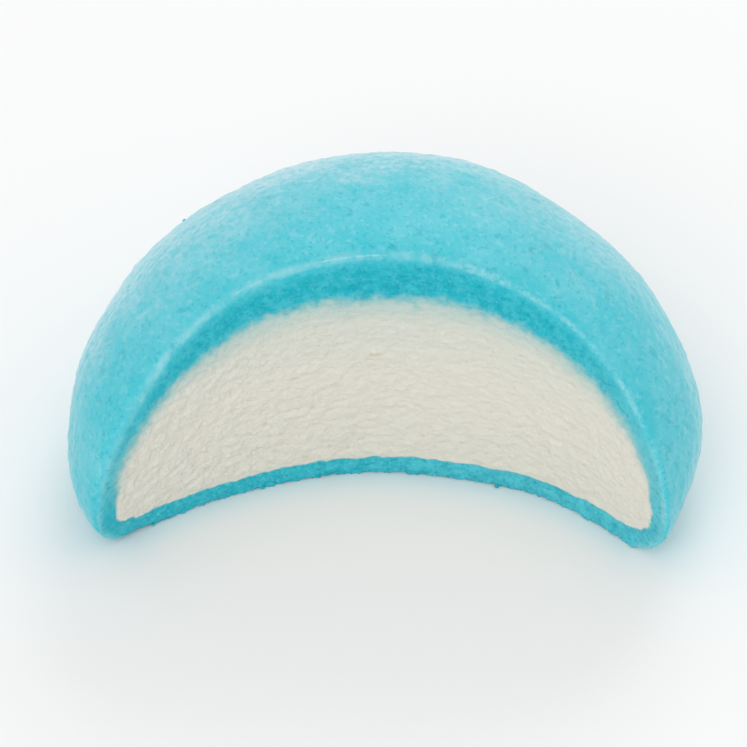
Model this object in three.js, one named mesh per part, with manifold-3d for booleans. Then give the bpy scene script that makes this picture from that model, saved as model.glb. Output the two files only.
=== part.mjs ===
// A mochi ice cream with one large round bite taken out of its front.
//
// A sheet of soft rice dough wraps a ball of ice cream. The ball has settled on a
// flat base, so it is a low dome with a tucked-in foot. The bite leaves a crescent
// whose upright wall shows the dough as a band round the ice cream.
//
// Units are millimetres and +Z is up. The bite opens towards -Y, and the two tips
// of the crescent lie to -X and +X. The shape is worked out round the dome's upright
// axis, and the finished part is moved so that its origin is under the middle of its
// box, on the surface that it rests on.

import * as THREE from 'three';
import { mergeVertices } from 'three/addons/utils/BufferGeometryUtils.js';
import Module from 'manifold-3d';

const wasm = await Module();
wasm.setup();

// ---- Driving dimensions ----------------------------------------------------------

// The whole ball. Its lower half would be a flatter cap, which the floor cuts off.
const BALL = {
  radius: 22, // at the belly, its widest height
  bellyHeight: 4.9,
  top: 22.4,
  under: 10.1, // depth of the lower cap below the belly, were it not cut off
  floor: 0, // height of the flat base
  shift: 0, // of its axis towards +X
};

// The ice cream inside: the dough is thickest over the top and thin at the sides.
const FILLING_BALL = {
  radius: 20.35,
  bellyHeight: 5,
  top: 18.4,
  under: 9,
  floor: 1.8,
  shift: 0.2,
};
const CLEARANCE = 0.3; // between the ice cream and the dough round it

// The bite: an upright round wall that leans out a little over its own foot.
const BITE = {
  radius: 24.3,
  depth: 0.75, // how far the wall's foot passes behind the dome's axis
  lean: -0.135, // of the wall towards +Y for each millimetre of height
  flare: 0.015, // of the radius for each millimetre of height
  turn: THREE.MathUtils.degToRad(-0.8), // of the bite about the dome's axis
};

// Where fingers have pressed the dough in or let it swell. They lie round a ring that
// passes over both sides of the belly and behind the top.
const PRESS_REACH = 9;
const PRESS_RING_LEAN = THREE.MathUtils.degToRad(40);
const PRESSES = [
  { bearing: 200, out: 0.5 },
  { bearing: 150, out: -0.3 },
  { bearing: 125, out: -0.3 },
  { bearing: 100, out: 0.1 },
  { bearing: 75, out: 0.25 },
  { bearing: 50, out: -0.35 },
  { bearing: 25, out: -0.15 },
  { bearing: 0, out: 0.2 },
];

// Slow waves of the bite's wall, in and out.
const WAVE_REACH = 7;
const WAVES = [
  { x: -15, back: 0.15 },
  { x: -8, back: -0.15 },
  { x: 8, back: 0.1 },
];

// Rounded edges.
const RIM_ROUND_TOP = 1.3; // where the skin turns over into the bite, at the dome's top
const RIM_ROUND_FOOT = 0.45; // the same edge at the tips
const FILLING_ROUND = 0.3;
const UNDERSIDE_ROUND = 1.5; // of the rough form that is cut off below each floor
const UNDERSIDE_DEPTH = 2.5;

// How finely the surfaces are divided.
const SKIN_MESH = { around: 96, skinRows: 24, faceRows: 11, skinGrade: 1.35, faceGrade: 1.6 };
const FILLING_MESH = { around: 72, skinRows: 16, faceRows: 10, skinGrade: 1.2, faceGrade: 1.2 };
const CAVITY_MESH = { around: 96, rows: 24 };
const CUTTER_SIZE = 80; // of the block that keeps what is above a floor

// The point that the skin is worked out from, inside every one of the solids.
const HEART = new THREE.Vector3(0, 5, 8);

// ---- Surfaces as gaps: below zero inside the food, above zero outside it ----------

/** The middle of a ball at its belly. */
function bellyCentre(ball) {
  return new THREE.Vector3(ball.shift, 0, ball.bellyHeight);
}

/** How far along a direction from the belly's centre the skin of a ball lies. */
function skinReach(direction, ball) {
  const semiHeight = direction.z > 0 ? ball.top - ball.bellyHeight : ball.under;
  const side = Math.hypot(direction.x, direction.y) / ball.radius;
  return direction.length() / Math.hypot(side, direction.z / semiHeight);
}

/** A press with its outward direction and its middle on the skin. */
function placePress({ bearing, out }) {
  const angle = THREE.MathUtils.degToRad(bearing);
  const back = Math.sin(angle) * Math.sin(PRESS_RING_LEAN);
  const up = Math.sin(angle) * Math.cos(PRESS_RING_LEAN);
  const outward = new THREE.Vector3(Math.cos(angle), back, up);
  const middle = bellyCentre(BALL).addScaledVector(outward, skinReach(outward, BALL));
  return { middle, out };
}

const placedPresses = PRESSES.map(placePress);

/** Full strength at a distance of zero, fading smoothly to nothing at the reach. */
function fade(distance, reach) {
  return THREE.MathUtils.smoothstep(reach - distance, 0, reach);
}

/** How far the presses move the skin outwards near a point. */
function pressedOut(point) {
  let out = 0;
  for (const press of placedPresses) {
    out += press.out * fade(point.distanceTo(press.middle), PRESS_REACH);
  }
  return out;
}

function ballGap(point, ball) {
  const ray = point.clone().sub(bellyCentre(ball));
  return ray.length() - skinReach(ray, ball);
}

/** The bite's upright round wall at a height: its radius and the middle of its circle. */
function biteCircle(height) {
  const radius = BITE.radius + BITE.flare * height;
  return {
    radius,
    x: (BITE.radius - BITE.depth) * Math.sin(BITE.turn),
    y: BITE.depth - radius + BITE.lean * height,
  };
}

function wallWave(x) {
  let back = 0;
  for (const wave of WAVES) back += wave.back * fade(Math.abs(x - wave.x), WAVE_REACH);
  return back;
}

function biteGap(point) {
  const circle = biteCircle(point.z);
  const y = point.y - wallWave(point.x);
  return circle.radius - Math.hypot(point.x - circle.x, y - circle.y);
}

/** The point of the bite's wall at a given place across and up. */
function wallPoint(x, z) {
  const circle = biteCircle(z);
  const across = Math.min(Math.abs(x - circle.x), circle.radius);
  const y = circle.y + Math.sqrt(circle.radius ** 2 - across ** 2) + wallWave(x);
  return new THREE.Vector3(x, y, z);
}

/** Keeps what is inside both gaps, with a rounded edge where they meet. */
function roundedMeet(a, b, round) {
  const corner = Math.hypot(Math.max(a + round, 0), Math.max(b + round, 0));
  return Math.min(Math.max(a, b), -round) + corner;
}

// ---- The two forms, whole and bitten ----------------------------------------------

/** A ball that reaches a little deeper than its floor, so that the cut there is clean. */
function deepBall(point, ball) {
  const underside = ball.floor - UNDERSIDE_DEPTH - point.z;
  return roundedMeet(ballGap(point, ball), underside, UNDERSIDE_ROUND);
}

/** The whole ball of dough, with its presses. */
function wholeDough(point) {
  return deepBall(point, BALL) - pressedOut(point);
}

/** The whole ball of ice cream. */
function wholeFilling(point) {
  return deepBall(point, FILLING_BALL);
}

function rimRound(height) {
  const share = THREE.MathUtils.clamp(height / BALL.top, 0, 1);
  return THREE.MathUtils.lerp(RIM_ROUND_FOOT, RIM_ROUND_TOP, share);
}

const DOUGH_FORM = {
  whole: wholeDough,
  bitten: (point) => roundedMeet(wholeDough(point), biteGap(point), rimRound(point.z)),
};

const FILLING_FORM = {
  whole: wholeFilling,
  bitten: (point) => roundedMeet(wholeFilling(point), biteGap(point), FILLING_ROUND),
};

// ---- From gaps to meshes ----------------------------------------------------------

const SEARCH_LENGTH = 32; // longer than the way from the heart to any surface
const HALVINGS = 40;
const SETTLE_STEPS = 8;
const SLOPE_STEP = 0.005;

/** The length at which a path of points leaves the form. */
function exitLength(pointAt, gap) {
  let inside = 0;
  let outside = SEARCH_LENGTH;
  for (let i = 0; i < HALVINGS; i++) {
    const middle = (inside + outside) / 2;
    if (gap(pointAt(middle)) < 0) inside = middle;
    else outside = middle;
  }
  return inside;
}

/** The direction in which a gap grows, as a gradient. */
function slope(point, gap) {
  const along = (axis) => {
    const ahead = point.clone().addScaledVector(axis, SLOPE_STEP);
    const behind = point.clone().addScaledVector(axis, -SLOPE_STEP);
    return (gap(ahead) - gap(behind)) / (2 * SLOPE_STEP);
  };
  const axes = [new THREE.Vector3(1, 0, 0), new THREE.Vector3(0, 1, 0), new THREE.Vector3(0, 0, 1)];
  return new THREE.Vector3(...axes.map(along));
}

/** Moves a point that is near the surface onto it. */
function settle(point, gap) {
  for (let i = 0; i < SETTLE_STEPS; i++) {
    const uphill = slope(point, gap);
    point.addScaledVector(uphill, -gap(point) / uphill.lengthSq());
  }
  return point;
}

/** A closed mesh with its shared vertices merged, left with positions alone. */
function barePositions(geometry) {
  geometry.deleteAttribute('normal');
  geometry.deleteAttribute('uv');
  return mergeVertices(geometry);
}

/** Calls a function that places each vertex of a geometry from its old place. */
function placeVertices(geometry, place) {
  const positions = geometry.getAttribute('position');
  const vertex = new THREE.Vector3();
  for (let i = 0; i < positions.count; i++) {
    vertex.fromBufferAttribute(positions, i);
    positions.setXYZ(i, ...place(vertex).toArray());
  }
  return geometry;
}

/** Steps that grow finer towards 1, where the rim of the bite is. */
function gradeToRim(fraction, grade) {
  return 1 - (1 - fraction) ** grade;
}

/**
 * A bitten form. A sphere has its poles to the front and the back, and its rings
 * become rows of the surface: those of its back lie on the skin, one follows the rim
 * of the bite and the others fill the wall.
 */
function bittenGeometry(form, { around, skinRows, faceRows, skinGrade, faceGrade }) {
  const rows = skinRows + faceRows;
  const place = (vertex) => {
    const ring = Math.round((Math.acos(THREE.MathUtils.clamp(vertex.y, -1, 1)) / Math.PI) * rows);
    const bearing = Math.atan2(vertex.z, vertex.x);
    const across = Math.cos(bearing);
    const up = Math.sin(bearing);
    const wallAt = (length) => wallPoint(HEART.x + across * length, HEART.z + up * length);
    const rimLength = exitLength(wallAt, form.whole);
    if (ring >= skinRows) {
      const share = gradeToRim((rows - ring) / faceRows, faceGrade);
      return settle(wallAt(rimLength * share), form.bitten);
    }
    const rimAngle = Math.atan2(rimLength, wallAt(rimLength).y - HEART.y);
    const angle = rimAngle * gradeToRim(ring / skinRows, skinGrade);
    const ray = new THREE.Vector3(across * Math.sin(angle), Math.cos(angle), up * Math.sin(angle));
    const skinAt = (length) => HEART.clone().addScaledVector(ray, length);
    return settle(skinAt(exitLength(skinAt, form.whole)), form.bitten);
  };
  return placeVertices(barePositions(new THREE.SphereGeometry(1, around, rows)), place);
}

/** The unbitten hollow that the dough leaves for the ice cream, turned on its axis. */
function cavityGeometry() {
  const { around, rows } = CAVITY_MESH;
  const radius = FILLING_BALL.radius + CLEARANCE;
  const upper = FILLING_BALL.top + CLEARANCE - FILLING_BALL.bellyHeight;
  const lower = FILLING_BALL.under + CLEARANCE;
  const floor = FILLING_BALL.floor - CLEARANCE;
  const footAngle = Math.asin((floor - FILLING_BALL.bellyHeight) / lower);
  const profile = [new THREE.Vector2(0, floor)];
  for (let i = 0; i < rows; i++) {
    const angle = THREE.MathUtils.lerp(footAngle, Math.PI / 2, i / rows);
    const rise = Math.sin(angle) * (angle > 0 ? upper : lower);
    profile.push(new THREE.Vector2(radius * Math.cos(angle), FILLING_BALL.bellyHeight + rise));
  }
  profile.push(new THREE.Vector2(0, FILLING_BALL.bellyHeight + upper));
  const cavity = new THREE.LatheGeometry(profile, around);
  cavity.rotateX(Math.PI / 2);
  cavity.translate(FILLING_BALL.shift, 0, 0);
  return barePositions(cavity);
}

// ---- Cutting -----------------------------------------------------------------------

function toSolid(geometry) {
  const vertProperties = Float32Array.from(geometry.getAttribute('position').array);
  const triVerts = Uint32Array.from(geometry.getIndex().array);
  return new wasm.Manifold(new wasm.Mesh({ numProp: 3, vertProperties, triVerts }));
}

/** What a solid has above a floor. */
function keepAbove(solid, floor) {
  const block = new THREE.BoxGeometry(CUTTER_SIZE, CUTTER_SIZE, CUTTER_SIZE);
  block.translate(0, 0, floor + CUTTER_SIZE / 2);
  return solid.intersect(toSolid(barePositions(block)));
}

function toGeometry(solid) {
  const mesh = solid.getMesh();
  const geometry = new THREE.BufferGeometry();
  geometry.setAttribute('position', new THREE.BufferAttribute(mesh.vertProperties, mesh.numProp));
  geometry.setIndex(new THREE.BufferAttribute(mesh.triVerts, 1));
  return geometry;
}

// ---- The two pieces ------------------------------------------------------------------

/** Soft turquoise rice dough: the bitten ball less the hollow for the ice cream. */
function makeWrapper() {
  const body = keepAbove(toSolid(bittenGeometry(DOUGH_FORM, SKIN_MESH)), BALL.floor);
  const cavity = toSolid(cavityGeometry());
  const material = new THREE.MeshStandardMaterial({ color: 0x64ccd9, roughness: 0.75, metalness: 0 });
  const wrapper = new THREE.Mesh(toGeometry(body.subtract(cavity)), material);
  wrapper.name = 'mochi_wrapper';
  return wrapper;
}

/** Off-white vanilla ice cream, bitten through on the same wall. */
function makeFilling() {
  const body = keepAbove(toSolid(bittenGeometry(FILLING_FORM, FILLING_MESH)), FILLING_BALL.floor);
  const material = new THREE.MeshStandardMaterial({ color: 0xd8d6ca, roughness: 0.6, metalness: 0 });
  const filling = new THREE.Mesh(toGeometry(body), material);
  filling.name = 'ice_cream_filling';
  return filling;
}

/** Moves a group so that its origin is under the middle of its box, on its base. */
function standAtOrigin(group) {
  const box = new THREE.Box3().setFromObject(group);
  const middle = box.getCenter(new THREE.Vector3());
  group.position.set(-middle.x, -middle.y, -box.min.z);
  return group;
}

const mochi = new THREE.Group();
mochi.add(makeWrapper(), makeFilling());
standAtOrigin(mochi);

export default mochi;
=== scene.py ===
"""A mochi ice cream with a round bite out of its front, modelled and dressed for its portrait.

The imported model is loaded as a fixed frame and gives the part's place. The rice dough and
the ice cream are modelled here in millimetres, worked over the same form, and then brought
down to metres. The dough is a low dome with finger presses, a leaning round bite with a
soft rim, a fine powdery skin and a damp cut band. The ice cream has wavy frozen scales.
A few crumbs of dough stick to the foot of the bite and to the skin.
"""

import logging
import math
import random
from dataclasses import dataclass, field
from enum import Enum
from functools import cached_property, reduce
from typing import Any, Callable

import bpy
import numpy as np
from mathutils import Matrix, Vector


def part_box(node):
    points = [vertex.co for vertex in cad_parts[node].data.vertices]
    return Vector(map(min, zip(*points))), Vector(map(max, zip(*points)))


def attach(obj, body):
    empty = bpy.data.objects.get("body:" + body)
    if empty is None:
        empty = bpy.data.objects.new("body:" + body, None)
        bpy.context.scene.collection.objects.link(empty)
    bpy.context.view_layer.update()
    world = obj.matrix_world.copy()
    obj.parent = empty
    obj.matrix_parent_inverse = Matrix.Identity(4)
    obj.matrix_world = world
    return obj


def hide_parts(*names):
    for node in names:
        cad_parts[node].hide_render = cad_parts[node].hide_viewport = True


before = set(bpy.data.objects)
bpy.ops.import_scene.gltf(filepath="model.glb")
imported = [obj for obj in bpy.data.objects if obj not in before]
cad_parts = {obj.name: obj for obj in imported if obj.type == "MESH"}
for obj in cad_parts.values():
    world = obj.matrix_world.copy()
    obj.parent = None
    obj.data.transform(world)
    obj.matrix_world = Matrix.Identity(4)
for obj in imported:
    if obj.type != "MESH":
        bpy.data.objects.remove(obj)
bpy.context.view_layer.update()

MM = 0.001
log = logging.getLogger("mochi")

Socket = bpy.types.NodeSocket
Colour = tuple[float, float, float, float]
Triple = tuple[float, float, float]


class Node(Enum):
    """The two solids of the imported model, by name."""

    WRAPPER = "mochi_wrapper"
    FILLING = "ice_cream_filling"


class Slot(Enum):
    """The record's material slots."""

    DOUGH = "mochi_dough"
    CREAM = "vanilla_ice_cream"


class Pattern(Enum):
    """How a relief swells and dips."""

    SOFT = "SOFT_NOISE"  # rounded lumps and rounded dips
    CREASED = "HARD_NOISE"  # rounded lumps with sharp creases between them


class Mark(Enum):
    """What the meshes remember about their surface, read by the materials."""

    TURN = "turn"  # millimetres past the rim, below zero on the skin, above on the wall
    DEPTH = "depth"  # millimetres outside the ball of ice cream
    HEIGHT = "height"  # millimetres above the ground
    RELIEF = "relief"  # millimetres that the ice cream's scales lie back or stand proud


class Area(Enum):
    """The dough's two areas, which share their colours and differ in sheen."""

    SKIN = "floury_skin"
    CUT = "damp_cut"


@dataclass(frozen=True)
class Grain:
    """How a pattern is drawn out.

    Attributes:
        stretch: How much longer its features are along X, Y and Z.
        tilt: Degrees that it is then turned about X.
    """

    stretch: Triple = (1.0, 1.0, 1.0)
    tilt: float = 0.0


EVEN = Grain()
ROLLED = Grain((1.0, 2.0, 1.0), -40.0)  # the skin's, drawn out towards the lower back
FROZEN = Grain((1.2, 1.2, 0.9))  # the ice cream's, a little flat


# ---- The workbench: operators on chosen points -----------------------------------------


def smooth_step(values: np.ndarray, low: float, high: float) -> np.ndarray:
    """Rises smoothly from 0 at low to 1 at high.

    Args:
        values: The numbers to map.
        low: Where the result is still 0.
        high: Where the result has reached 1.

    Returns:
        The mapped numbers.
    """
    share = np.clip((values - low) / (high - low), 0, 1)
    return share * share * (3 - 2 * share)


class Bench:
    """Picks points of a mesh by their place and works on them with operators."""

    @staticmethod
    def points(piece: bpy.types.Object) -> np.ndarray:
        """Reads a piece's vertices.

        Args:
            piece: The object to read.

        Returns:
            Rows of x, y and z.
        """
        flat = np.empty(len(piece.data.vertices) * 3, np.float32)
        piece.data.vertices.foreach_get("co", flat)
        return flat.reshape(-1, 3).astype(float)

    @staticmethod
    def activate(piece: bpy.types.Object) -> None:
        """Deselects everything, then selects and activates one piece."""
        bpy.ops.object.select_all(action="DESELECT")
        piece.select_set(True)
        bpy.context.view_layer.objects.active = piece

    @classmethod
    def work(cls, piece: bpy.types.Object, chosen: np.ndarray, *steps: Callable[[], Any]) -> None:
        """Runs edit-mode operators on chosen vertices.

        Args:
            piece: The object to edit.
            chosen: One truth value for each vertex.
            *steps: Calls of operators, run in order.
        """
        cls.activate(piece)
        bpy.context.tool_settings.mesh_select_mode = (True, False, False)
        mesh = piece.data
        mesh.polygons.foreach_set("select", np.zeros(len(mesh.polygons), bool))
        mesh.edges.foreach_set("select", np.zeros(len(mesh.edges), bool))
        mesh.vertices.foreach_set("select", chosen.astype(bool))
        bpy.ops.object.mode_set(mode="EDIT")
        for step in steps:
            step()
        bpy.ops.object.mode_set(mode="OBJECT")

    @classmethod
    def apply(cls, piece: bpy.types.Object, kind: str, **settings: Any) -> None:
        """Adds a modifier with its settings and applies it.

        Args:
            piece: The object to change.
            kind: Blender's type of modifier.
            **settings: Values for the modifier's properties.
        """
        cls.activate(piece)
        modifier = piece.modifiers.new(kind.lower(), kind)
        for name, value in settings.items():
            setattr(modifier, name, value)
        bpy.ops.object.modifier_apply(modifier=modifier.name)

    @classmethod
    def pull(cls, piece: bpy.types.Object, place: np.ndarray, move: Any, reach: float) -> None:
        """Moves the point nearest to a place, and those round it ever less.

        Args:
            piece: The object to change.
            place: Where to take hold of it, as x, y and z.
            move: How far it moves along x, y and z.
            reach: How far off the move has faded out.
        """
        off = np.linalg.norm(cls.points(piece) - place, axis=1)
        cls.work(
            piece,
            off == off.min(),
            lambda: bpy.ops.transform.translate(
                value=tuple(move),
                use_proportional_edit=True,
                proportional_edit_falloff="SMOOTH",
                proportional_size=reach,
            ),
        )

    @classmethod
    def smooth(cls, piece: bpy.types.Object, passes: int, weights: np.ndarray) -> None:
        """Evens a surface out.

        Args:
            piece: The object to change.
            passes: How often.
            weights: Numbers from 0 to 1, one for each vertex.
        """
        cls.group(piece, "smooth", weights)
        cls.apply(piece, "SMOOTH", factor=0.5, iterations=passes, vertex_group="smooth")
        piece.vertex_groups.clear()

    @classmethod
    def cut(cls, piece: bpy.types.Object, tool: bpy.types.Object, operation: str) -> None:
        """Joins or cuts a piece with a tool by a Boolean that is applied.

        Args:
            piece: The object to change.
            tool: The other object, which stays as it is.
            operation: DIFFERENCE, INTERSECT or UNION.
        """
        cls.apply(piece, "BOOLEAN", operation=operation, object=tool, solver="MANIFOLD")

    @classmethod
    def copy(cls, piece: bpy.types.Object, name: str) -> bpy.types.Object:
        """Copies a piece with its mesh.

        Args:
            piece: The object to copy.
            name: The copy's name.

        Returns:
            The copy.
        """
        twin = piece.copy()
        twin.data = piece.data.copy()
        twin.name = name
        twin.data.name = name
        bpy.context.collection.objects.link(twin)
        return twin

    @staticmethod
    def group(piece: bpy.types.Object, name: str, weights: np.ndarray) -> None:
        """Writes one weight for each vertex into a vertex group, in a few hundred steps.

        Args:
            piece: The object that gets the group.
            name: The group's name.
            weights: Numbers from 0 to 1.
        """
        vertex_group = piece.vertex_groups.new(name=name)
        steps = 64
        levels = np.rint(np.clip(weights, 0, 1) * steps).astype(int)
        for level in range(1, steps + 1):
            members = np.nonzero(levels == level)[0]
            if len(members):
                vertex_group.add(members.tolist(), level / steps, "REPLACE")

    @staticmethod
    def mark(piece: bpy.types.Object, mark: Mark, values: np.ndarray) -> None:
        """Writes one number for each vertex into a named attribute."""
        attribute = piece.data.attributes.new(mark.value, "FLOAT", "POINT")
        attribute.data.foreach_set("value", values.astype(np.float32))

    @classmethod
    def to_metres(cls, piece: bpy.types.Object) -> None:
        """Brings a piece from millimetres down to metres, about the origin."""
        cls.activate(piece)
        piece.scale = (MM, MM, MM)
        bpy.ops.object.transform_apply(location=True, rotation=True, scale=True)


def flatten_below_ground(piece: bpy.types.Object) -> None:
    """Lifts every point below the ground onto it."""
    below = Bench.points(piece)[:, 2] < 0
    Bench.work(piece, below, lambda: bpy.ops.transform.resize(value=(1, 1, 0), center_override=(0, 0, 0)))


@dataclass(frozen=True)
class Relief:
    """A raised or sunk pattern that a procedural texture gives to a surface.

    Attributes:
        name: What the pattern is.
        size: Millimetres between neighbouring bumps.
        height: Millimetres from the lowest to the highest point.
        depth: Octaves of finer bumps on top.
        grain: How the bumps are drawn out.
        pattern: Whether the dips are rounded or sharp.
        middle: The share of the height that lies below the plain surface.
    """

    name: str
    size: float
    height: float
    depth: int = 1
    grain: Grain = EVEN
    pattern: Pattern = Pattern.SOFT
    middle: float = 0.5

    def work_into(self, piece: bpy.types.Object, vertex_group: str) -> None:
        """Displaces a piece along its normals, weighted by a vertex group.

        Args:
            piece: The object to work on.
            vertex_group: The group that fades the pattern in and out.
        """
        texture = bpy.data.textures.new(self.name, "CLOUDS")
        texture.noise_scale = self.size
        texture.noise_depth = self.depth
        texture.noise_type = self.pattern.value
        ruler = bpy.data.objects.new(self.name, None)
        bpy.context.collection.objects.link(ruler)
        ruler.scale = self.grain.stretch
        ruler.rotation_euler.x = math.radians(self.grain.tilt)
        bpy.context.view_layer.update()
        Bench.apply(
            piece,
            "DISPLACE",
            texture=texture,
            texture_coords="OBJECT",
            texture_coords_object=ruler,
            strength=self.height,
            mid_level=self.middle,
            vertex_group=vertex_group,
        )
        bpy.data.objects.remove(ruler)
        bpy.data.textures.remove(texture)


# ---- The forms: a settled ball and the bite ---------------------------------------------


@dataclass(frozen=True)
class Press:
    """A place where a finger pressed the dough in, or let it swell.

    Attributes:
        bearing: Degrees round a ring that passes over both flanks and behind the top.
        out: Millimetres outwards.
    """

    bearing: float
    out: float


@dataclass(frozen=True)
class SettledBall:
    """A ball that has settled on a flat floor, in millimetres.

    Attributes:
        axis: Where its upright axis stands, as x and y.
        radius: At the belly, its widest height.
        belly: Height of the belly.
        top: Height of the top.
        under: Depth of the lower cap below the belly, were it not cut off.
        floor: Height of the flat floor.
        segments: Divisions round the axis.
        presses: Where fingers have pressed it.
    """

    axis: tuple[float, float]
    radius: float
    belly: float
    top: float
    under: float
    floor: float
    segments: int
    presses: tuple[Press, ...] = ()
    press_reach: float = 9.0
    press_ring_lean: float = math.radians(40)

    @property
    def centre(self) -> np.ndarray:
        """The middle of the ball at its belly."""
        return np.array([*self.axis, self.belly])

    def reach(self, rays: np.ndarray) -> np.ndarray:
        """Measures the plain ball.

        Args:
            rays: Directions from its centre, as rows of x, y and z.

        Returns:
            How far from the centre the skin lies along each one.
        """
        semi_height = np.where(rays[:, 2] > 0, self.top - self.belly, self.under)
        side = np.hypot(rays[:, 0], rays[:, 1]) / self.radius
        return np.linalg.norm(rays, axis=1) / np.hypot(side, rays[:, 2] / semi_height)

    def gap(self, points: np.ndarray) -> np.ndarray:
        """Measures how far points lie from the pressed skin.

        Args:
            points: Rows of x, y and z.

        Returns:
            Millimetres outside the skin, below zero inside it.
        """
        rays = points - self.centre
        distance = np.linalg.norm(rays, axis=1) - self.reach(rays)
        for press in self.presses:
            off = np.linalg.norm(points - self.press_place(press)[0], axis=1)
            distance -= press.out * smooth_step(self.press_reach - off, 0, self.press_reach)
        return distance

    def press_place(self, press: Press) -> tuple[np.ndarray, np.ndarray]:
        """Finds where a press is centred.

        Args:
            press: The press to place.

        Returns:
            Its middle on the skin and its outward direction.
        """
        bearing = math.radians(press.bearing)
        back = math.sin(bearing) * math.sin(self.press_ring_lean)
        up = math.sin(bearing) * math.cos(self.press_ring_lean)
        outward = np.array([math.cos(bearing), back, up])
        return self.centre + outward * self.reach(outward[None])[0], outward

    def model(self, name: str) -> bpy.types.Object:
        """Models the ball from a sphere: two unequal halves, presses and a flat floor.

        Args:
            name: The new object's name.

        Returns:
            The closed solid.
        """
        bpy.ops.object.select_all(action="DESELECT")
        bpy.ops.mesh.primitive_uv_sphere_add(
            segments=self.segments,
            ring_count=self.segments // 2,
            radius=self.radius,
            location=tuple(self.centre),
        )
        ball = bpy.context.object
        ball.name = ball.data.name = name
        bpy.ops.object.transform_apply(location=True)
        for upper, semi_height in ((True, self.top - self.belly), (False, self.under)):
            heights = Bench.points(ball)[:, 2] - self.belly
            half = heights > MM if upper else heights < -MM
            squash = (1, 1, semi_height / self.radius)
            pivot = tuple(self.centre)
            Bench.work(ball, half, lambda: bpy.ops.transform.resize(value=squash, center_override=pivot))
        for press in self.presses:
            middle, outward = self.press_place(press)
            Bench.pull(ball, middle, outward * press.out, self.press_reach)
        Bench.work(
            ball,
            np.ones(len(ball.data.vertices)),
            lambda: bpy.ops.mesh.bisect(
                plane_co=(0, 0, self.floor), plane_no=(0, 0, 1), use_fill=True, clear_inner=True
            ),
        )
        return ball


@dataclass(frozen=True)
class Wave:
    """A slow wave of the bitten wall.

    Attributes:
        place: Millimetres across from the dome's axis to its middle.
        back: Millimetres that it moves the wall's foot back.
        lean: Millimetres more for each millimetre of height.
    """

    place: float
    back: float
    lean: float = 0.0


@dataclass(frozen=True)
class Bite:
    """The round bite: an upright wall that leans out a little over its own foot.

    Attributes:
        axis: Where the dome's axis stands, as x and y in millimetres.
        radius: Of the wall at its foot.
        depth: How far the wall's foot passes behind the dome's axis.
        lean: Millimetres towards +Y for each millimetre of height.
        flare: Of the radius for each millimetre of height.
        turn: Degrees about the dome's axis.
        waves: Slow waves of the wall.
        wave_reach: Millimetres from a wave's middle to where it has faded out.
        low: Height of the cutter's lower end.
        high: Height of its upper end.
        segments: Divisions round the cutter.
    """

    axis: tuple[float, float]
    radius: float = 24.3
    depth: float = 0.75
    lean: float = -0.135
    flare: float = 0.015
    turn: float = -0.8
    waves: tuple[Wave, ...] = (
        Wave(-19, 0.22, -0.077),
        Wave(-15, 0.09, -0.035),
        Wave(-11, -0.18, 0.015),
        Wave(-7, -0.10, -0.002),
        Wave(-3, -0.04),
        Wave(1, 0.12, -0.010),
        Wave(5, -0.16, 0.013),
        Wave(9, 0.28, -0.015),
        Wave(13, 0.16),
        Wave(17, -0.19, 0.015),
        Wave(21.5, -1.05, 0.05),
    )
    wave_reach: float = 7.0
    low: float = -4.0
    high: float = 26.0
    segments: int = 480

    @property
    def middle_x(self) -> float:
        """Where the middle of the bite's circle lies across."""
        return self.axis[0] + (self.radius - self.depth) * math.sin(math.radians(self.turn))

    def circle(self, height: Any) -> tuple[Any, Any]:
        """Returns the plain wall's radius at a height and where its middle lies towards +Y."""
        radius = self.radius + self.flare * height
        return radius, self.axis[1] + self.depth - radius + self.lean * height

    def crest(self, wave: Wave, height: Any) -> tuple[float, Any]:
        """Finds where a wave is centred.

        Args:
            wave: The wave.
            height: One height or many.

        Returns:
            x and y of the plain wall's point there.
        """
        radius, middle_y = self.circle(height)
        x = self.axis[0] + wave.place
        return x, middle_y + (radius**2 - (x - self.middle_x) ** 2) ** 0.5

    def gap(self, points: np.ndarray) -> np.ndarray:
        """Measures how far points lie from the wavy wall.

        Args:
            points: Rows of x, y and z.

        Returns:
            Millimetres inside the bite, below zero in the food.
        """
        x, y, z = points.T
        back = np.zeros_like(x)
        for wave in self.waves:
            crest_x, crest_y = self.crest(wave, z)
            off = np.hypot(x - crest_x, y - crest_y)
            back += (wave.back + wave.lean * z) * smooth_step(self.wave_reach - off, 0, self.wave_reach)
        radius, middle_y = self.circle(z)
        return radius - np.hypot(x - self.middle_x, y - back - middle_y)

    def model(self, name: str) -> bpy.types.Object:
        """Models the cutter: a flared post whose top is slid over, with a wavy side.

        Args:
            name: The new object's name.

        Returns:
            The closed solid that the bite takes away.
        """
        (low_radius, low_y), (high_radius, high_y) = self.circle(self.low), self.circle(self.high)
        bpy.ops.object.select_all(action="DESELECT")
        bpy.ops.mesh.primitive_cone_add(
            vertices=self.segments,
            radius1=low_radius,
            radius2=high_radius,
            depth=self.high - self.low,
            location=(self.middle_x, low_y, (self.low + self.high) / 2),
        )
        cutter = bpy.context.object
        cutter.name = name
        bpy.ops.object.transform_apply(location=True)
        top = Bench.points(cutter)[:, 2] > (self.low + self.high) / 2
        slide = (0, high_y - low_y, 0)
        Bench.work(cutter, top, lambda: bpy.ops.transform.translate(value=slide))
        for wave in self.waves:
            for height in (self.low, self.high):
                crest = np.array([*self.crest(wave, height), height])
                Bench.pull(cutter, crest, (0, wave.back + wave.lean * height, 0), self.wave_reach)
        return cutter


# ---- The food ---------------------------------------------------------------------------


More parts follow.
